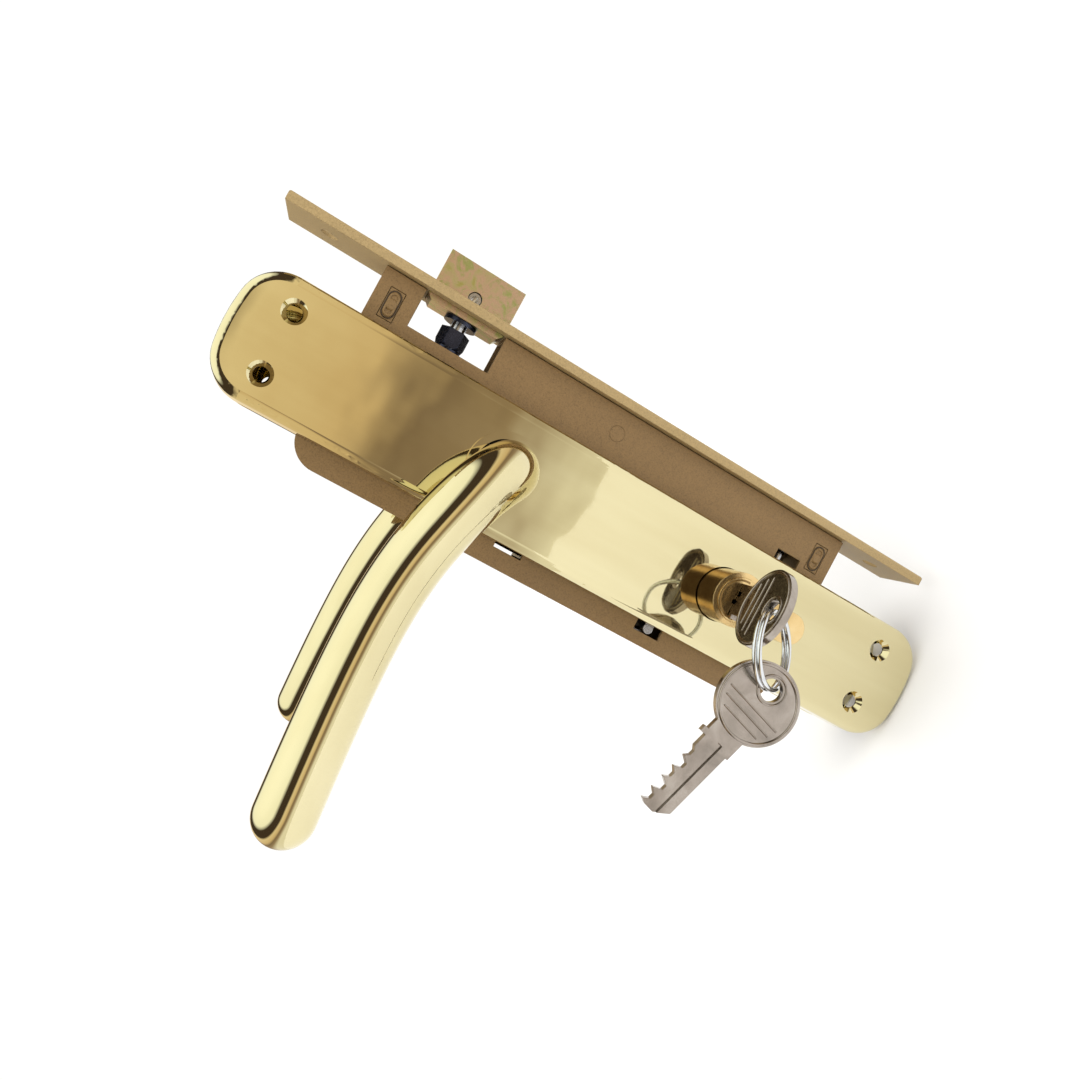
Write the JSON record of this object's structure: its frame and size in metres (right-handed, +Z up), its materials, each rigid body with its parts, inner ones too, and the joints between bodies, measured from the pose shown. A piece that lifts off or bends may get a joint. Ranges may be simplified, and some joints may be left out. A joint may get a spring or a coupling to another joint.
{
  "type": "mortise lock",
  "caption": "Mortise lock case with sprung latch and dead bolt, long brass plates with curved lever handles both sides, profile cylinder, key in place and spare key on a ring.",
  "frame": {"origin": "middle of the forend's outer face, half way between its two fixing holes", "axes": "+X out of the door's edge, +Z up, -Y towards the front plate and the keys"},
  "size_m": [0.163, 0.1254, 0.2459],
  "materials": {
    "gold": "polished",
    "case_paint": "fine textured gold brown",
    "zinc": "yellow passivated",
    "dark_steel": "blue black oxide",
    "bright_steel": "bright",
    "spring_steel": "drawn wire",
    "cylinder_brass": "polished",
    "nickel": "warm nickel plate",
    "ring_chrome": "bright",
    "bush_plastic": "moulded"
  },
  "bodies": {
    "lock_case": {"forend": "case_paint", "forend_screws": "case_paint", "case_base": "case_paint", "case_cover": "case_paint", "spacer_bars": "bright_steel", "case_posts": "bright_steel", "bolt_post": "bright_steel", "latch_spring_seat": "bright_steel", "latch_spring": "spring_steel", "return_spring_seat": "bright_steel", "return_spring": "spring_steel", "bolt_tumbler": "bright_steel", "tumbler_stud": "bright_steel", "tumbler_spring": "spring_steel", "cylinder_body": "cylinder_brass", "rear_plug": "cylinder_brass", "driver_pins": "cylinder_brass", "driver_springs": "spring_steel", "cylinder_screw": "bright_steel", "front_plate": "gold", "rear_plate": "gold", "front_collar": "gold", "rear_collar": "gold", "front_bush": "bush_plastic", "rear_bush": "bush_plastic"},
    "handle": {"front_lever": "gold", "rear_lever": "gold", "spindle": "bright_steel", "follower": "zinc", "grub_screws": "dark_steel", "lever_clips": "spring_steel"},
    "latch": {"latch_head": "zinc", "latch_shank": "bright_steel", "latch_pin": "bright_steel", "latch_washer": "dark_steel", "latch_nut": "dark_steel", "latch_locknut": "dark_steel", "latch_yoke": "bright_steel"},
    "bolt": {"dead_bolt": "zinc", "bolt_tail": "zinc", "bolt_rivets": "bright_steel"},
    "key_set": {"lock_key": "nickel", "front_plug": "cylinder_brass", "key_pins": "cylinder_brass", "cam": "dark_steel", "cam_clutch": "bright_steel"},
    "ring": {"key_ring": "ring_chrome"},
    "spare": {"spare_key": "nickel"}
  },
  "joints": [
    {"name": "handle_turn", "type": "hinge", "parent": "lock_case", "child": "handle", "pos_m": [-0.0395, 0, 0.0284], "axis": [0, -1, 0], "range_deg": [0, 36], "stiffness_Nm_per_rad": 1, "springref_deg": -51.57, "deforming": ["return_spring"]},
    {"name": "latch_slide", "type": "slide", "parent": "lock_case", "child": "latch", "axis": [-1, 0, 0], "range_m": [0, 0.01143], "deforming": ["latch_spring"]},
    {"name": "key_turn", "type": "hinge", "parent": "lock_case", "child": "key_set", "pos_m": [-0.0395, 0, -0.0516], "axis": [0, 1, 0], "range_deg": [0, 80]},
    {"name": "bolt_slide", "type": "slide", "parent": "lock_case", "child": "bolt", "axis": [1, 0, 0], "range_m": [0, 0.01671]},
    {"name": "ring_swing", "type": "hinge", "parent": "key_set", "child": "ring", "pos_m": [-0.0395, -0.0517, -0.0516], "axis": [0, 0, 1], "range_deg": [-12, 12]},
    {"name": "key_swing", "type": "hinge", "parent": "ring", "child": "spare", "pos_m": [-0.05918, -0.05616, -0.05902], "axis": [0.0449, -0.9903, 0.1317], "range_deg": [-20, 20]}
  ],
  "couplings": [
    {"joint": "latch_slide", "follows": "handle_turn", "m_per_rad": 0.018197},
    {"joint": "bolt_slide", "follows": "key_turn", "m_per_rad": 0.011969}
  ]
}
